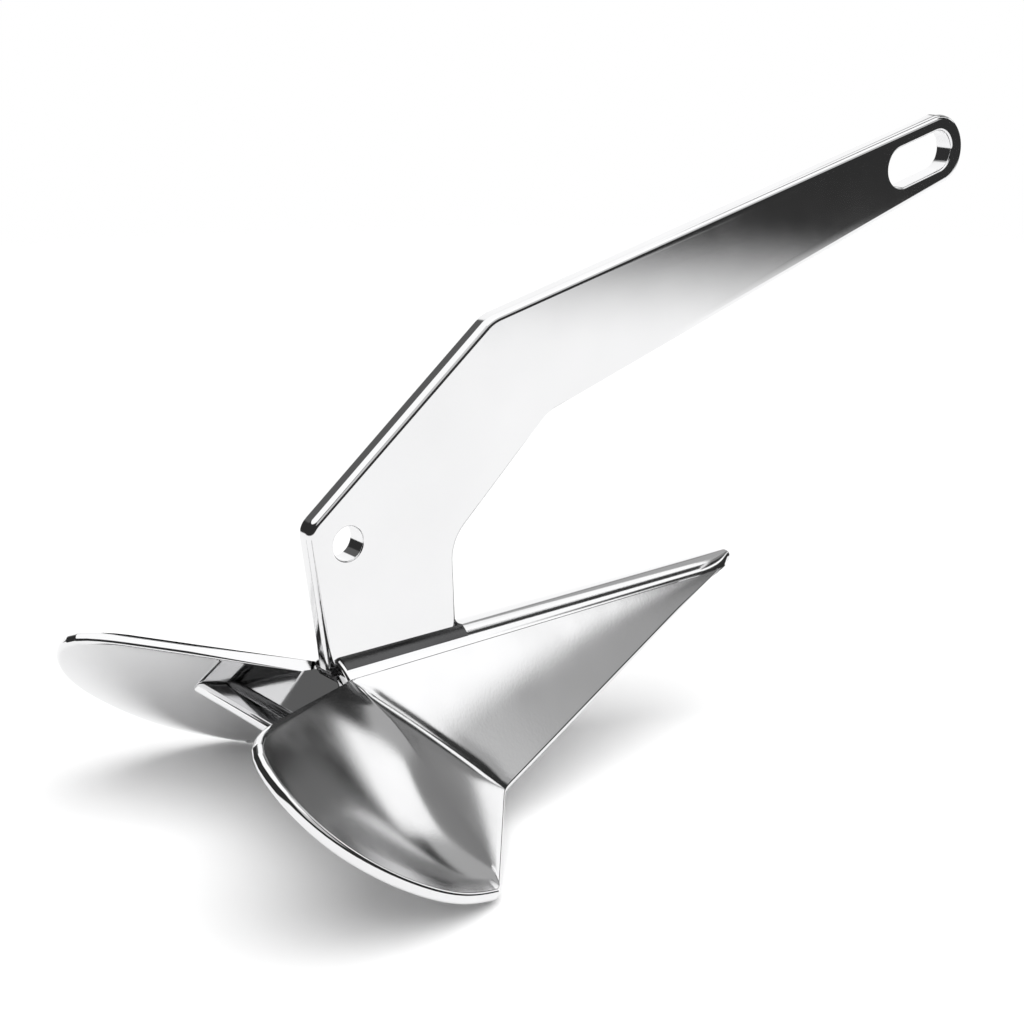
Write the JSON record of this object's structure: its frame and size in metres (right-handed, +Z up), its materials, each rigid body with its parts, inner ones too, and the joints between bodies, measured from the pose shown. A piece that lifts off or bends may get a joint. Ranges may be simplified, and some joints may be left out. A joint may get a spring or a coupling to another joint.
{
  "type": "fixed-shank plough anchor",
  "caption": "Fixed-shank plough anchor in mirror-polished stainless steel: pointed ballasted nose, two dished wings, bent plate shank with a slotted shackle eye and a trip hole.",
  "frame": {"origin": "middle of the footprint, on the level of the two wing toes the anchor stands on", "axes": "+X towards the nose tip and the shackle eye, +Y to the left, +Z up with the ridge level; the XZ plane is the mirror plane"},
  "size_m": [0.6532, 0.3084, 0.3862],
  "materials": {
    "polished_stainless": "mirror-polished stainless steel",
    "weld_metal": "stainless weld bead, ground and polished",
    "lead": "dull cast lead"
  },
  "bodies": {
    "root": {"shank": "polished_stainless", "ridge_bar": "polished_stainless", "fluke_blade_right": "polished_stainless", "fluke_blade_left": "polished_stainless", "cross_plate": "polished_stainless", "bulkhead": "polished_stainless", "nose_cover": "polished_stainless", "ballast": "lead", "shank_weld_right": "weld_metal", "shank_weld_left": "weld_metal", "shank_weld_front": "weld_metal", "shank_weld_rear": "weld_metal", "bulkhead_weld": "weld_metal", "cross_weld_right": "weld_metal", "cross_weld_left": "weld_metal", "cover_weld_right": "weld_metal", "cover_weld_left": "weld_metal"}
  },
  "joints": []
}
